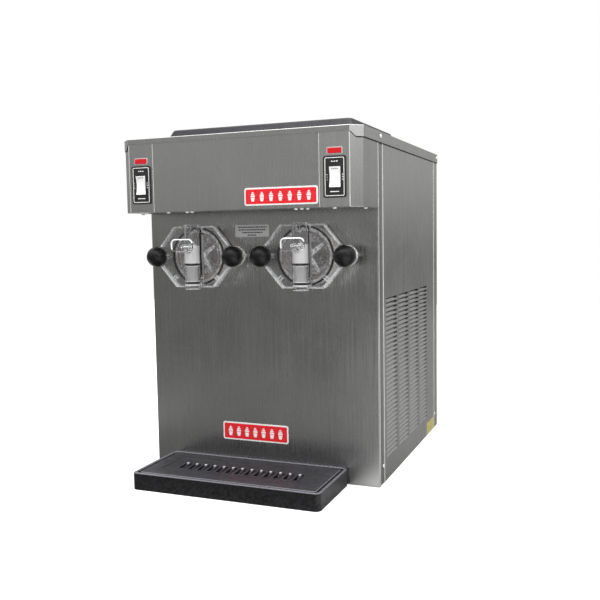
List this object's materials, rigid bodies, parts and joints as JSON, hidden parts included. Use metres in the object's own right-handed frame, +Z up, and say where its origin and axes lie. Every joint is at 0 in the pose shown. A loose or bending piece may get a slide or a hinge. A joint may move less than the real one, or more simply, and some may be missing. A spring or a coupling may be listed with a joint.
{
  "type": "soft serve machine",
  "caption": "Countertop soft serve machine: louvred stainless cabinet with overhanging control header, clear dispensing doors with ball knobs, drip tray and a black hopper cover.",
  "frame": {"origin": "on the counter, under the middle of the object's bounding box", "axes": "+Z up, -Y towards the person serving (the doors and header face -Y), +X to the right when facing the machine"},
  "size_m": [0.562, 0.822, 0.7994],
  "materials": {
    "body_steel": "brushed, satin",
    "front_steel": "brushed, satin",
    "bright_steel": "fine satin",
    "chassis_steel": "galvanised",
    "motor_paint": "black paint, satin",
    "tray_plastic": "fine moulded texture",
    "cover_plastic": "satin",
    "cord_rubber": "matt",
    "seal_rubber": "matt",
    "clear_plastic": "clear, polished",
    "white_plastic": "satin",
    "rocker_plastic": "gloss",
    "switch_plastic": "satin",
    "lamp_red": "gloss",
    "knob_plastic": "satin"
  },
  "bodies": {
    "cabinet": {"chassis": "chassis_steel", "front_panel": "front_steel", "left_side_panel": "body_steel", "right_side_panel": "body_steel", "rear_panel": "body_steel", "header_centre_panel": "body_steel", "header_left_panel": "body_steel", "header_right_panel": "body_steel", "top_cover": "body_steel", "freezing_cylinder_left": "bright_steel", "freezing_cylinder_right": "bright_steel", "gear_motor_left": "motor_paint", "gear_motor_right": "motor_paint", "hopper_left": "bright_steel", "hopper_right": "bright_steel", "feed_tube_left": "bright_steel", "feed_tube_right": "bright_steel", "compressor": "motor_paint", "condenser": "chassis_steel", "fan_motor": "motor_paint", "control_box": "chassis_steel", "power_cord": "cord_rubber", "foot_front_left": "seal_rubber", "foot_front_right": "seal_rubber", "foot_rear_left": "seal_rubber", "foot_rear_right": "seal_rubber", "switch_plate_left": "switch_plastic", "switch_plate_right": "switch_plastic", "indicator_left": "lamp_red", "indicator_right": "lamp_red"},
    "hopper_lid": {"hopper_cover": "cover_plastic"},
    "fan_rotor": {"condenser_fan": "motor_paint"},
    "tray": {"drip_tray": "tray_plastic"},
    "tray_grid": {"drip_tray_grid": "tray_plastic"},
    "door_assembly_left": {"door_left": "clear_plastic", "door_gasket_left": "seal_rubber", "handle_pin_left": "bright_steel"},
    "handle_body_left": {"handle_left": "clear_plastic"},
    "plunger_body_left": {"plunger_left": "white_plastic", "plunger_seal_left_upper": "seal_rubber", "plunger_seal_left_lower": "seal_rubber"},
    "dasher_body_left": {"dasher_left": "bright_steel", "scraper_blade_left_1": "white_plastic", "scraper_blade_left_2": "white_plastic"},
    "rocker_body_left": {"rocker_left": "rocker_plastic"},
    "knob_body_left_outer": {"knob_left_outer": "knob_plastic"},
    "knob_body_left_inner": {"knob_left_inner": "knob_plastic"},
    "door_assembly_right": {"door_right": "clear_plastic", "door_gasket_right": "seal_rubber", "handle_pin_right": "bright_steel"},
    "handle_body_right": {"handle_right": "clear_plastic"},
    "plunger_body_right": {"plunger_right": "white_plastic", "plunger_seal_right_upper": "seal_rubber", "plunger_seal_right_lower": "seal_rubber"},
    "dasher_body_right": {"dasher_right": "bright_steel", "scraper_blade_right_1": "white_plastic", "scraper_blade_right_2": "white_plastic"},
    "rocker_body_right": {"rocker_right": "rocker_plastic"},
    "knob_body_right_outer": {"knob_right_outer": "knob_plastic"},
    "knob_body_right_inner": {"knob_right_inner": "knob_plastic"}
  },
  "joints": [
    {"name": "hopper_cover_lift", "type": "slide", "parent": "cabinet", "child": "hopper_lid", "axis": [0, 0, 1], "range_m": [0, 0.12]},
    {"name": "condenser_fan_spin", "type": "hinge", "parent": "cabinet", "child": "fan_rotor", "pos_m": [0.183, -0.026, 0.2], "axis": [1, 0, 0], "continuous": true},
    {"name": "drip_tray_pull", "type": "slide", "parent": "cabinet", "child": "tray", "axis": [0, -1, 0], "range_m": [0, 0.12]},
    {"name": "drip_grid_lift", "type": "slide", "parent": "tray", "child": "tray_grid", "axis": [0, 0, 1], "range_m": [0, 0.05]},
    {"name": "door_left_slide_off", "type": "slide", "parent": "cabinet", "child": "door_assembly_left", "axis": [0, -1, 0], "range_m": [0, 0.08]},
    {"name": "handle_left_pull", "type": "hinge", "parent": "door_assembly_left", "child": "handle_body_left", "pos_m": [-0.13, -0.319, 0.53], "axis": [1, 0, 0], "range_deg": [0, 40]},
    {"name": "plunger_left_lift", "type": "slide", "parent": "door_assembly_left", "child": "plunger_body_left", "axis": [0, 0, 1], "range_m": [0, 0.0141]},
    {"name": "dasher_left_spin", "type": "hinge", "parent": "cabinet", "child": "dasher_body_left", "pos_m": [-0.13, -0.026, 0.508], "axis": [0, -1, 0], "continuous": true},
    {"name": "rocker_left_tilt", "type": "hinge", "parent": "cabinet", "child": "rocker_body_left", "pos_m": [-0.2261, -0.345, 0.667], "axis": [1, 0, 0], "range_deg": [-10, 10]},
    {"name": "knob_left_outer_turn", "type": "hinge", "parent": "door_assembly_left", "child": "knob_body_left_outer", "pos_m": [-0.2256, -0.2915, 0.508], "axis": [0, -1, 0], "continuous": true},
    {"name": "knob_left_inner_turn", "type": "hinge", "parent": "door_assembly_left", "child": "knob_body_left_inner", "pos_m": [-0.0344, -0.2915, 0.508], "axis": [0, -1, 0], "continuous": true},
    {"name": "door_right_slide_off", "type": "slide", "parent": "cabinet", "child": "door_assembly_right", "axis": [0, -1, 0], "range_m": [0, 0.08]},
    {"name": "handle_right_pull", "type": "hinge", "parent": "door_assembly_right", "child": "handle_body_right", "pos_m": [0.13, -0.319, 0.53], "axis": [1, 0, 0], "range_deg": [0, 40]},
    {"name": "plunger_right_lift", "type": "slide", "parent": "door_assembly_right", "child": "plunger_body_right", "axis": [0, 0, 1], "range_m": [0, 0.0141]},
    {"name": "dasher_right_spin", "type": "hinge", "parent": "cabinet", "child": "dasher_body_right", "pos_m": [0.13, -0.026, 0.508], "axis": [0, -1, 0], "continuous": true},
    {"name": "rocker_right_tilt", "type": "hinge", "parent": "cabinet", "child": "rocker_body_right", "pos_m": [0.2261, -0.345, 0.667], "axis": [1, 0, 0], "range_deg": [-10, 10]},
    {"name": "knob_right_outer_turn", "type": "hinge", "parent": "door_assembly_right", "child": "knob_body_right_outer", "pos_m": [0.2256, -0.2915, 0.508], "axis": [0, -1, 0], "continuous": true},
    {"name": "knob_right_inner_turn", "type": "hinge", "parent": "door_assembly_right", "child": "knob_body_right_inner", "pos_m": [0.0344, -0.2915, 0.508], "axis": [0, -1, 0], "continuous": true}
  ],
  "couplings": [
    {"joint": "plunger_left_lift", "follows": "handle_left_pull", "m_per_rad": 0.020086},
    {"joint": "plunger_right_lift", "follows": "handle_right_pull", "m_per_rad": 0.020086}
  ]
}
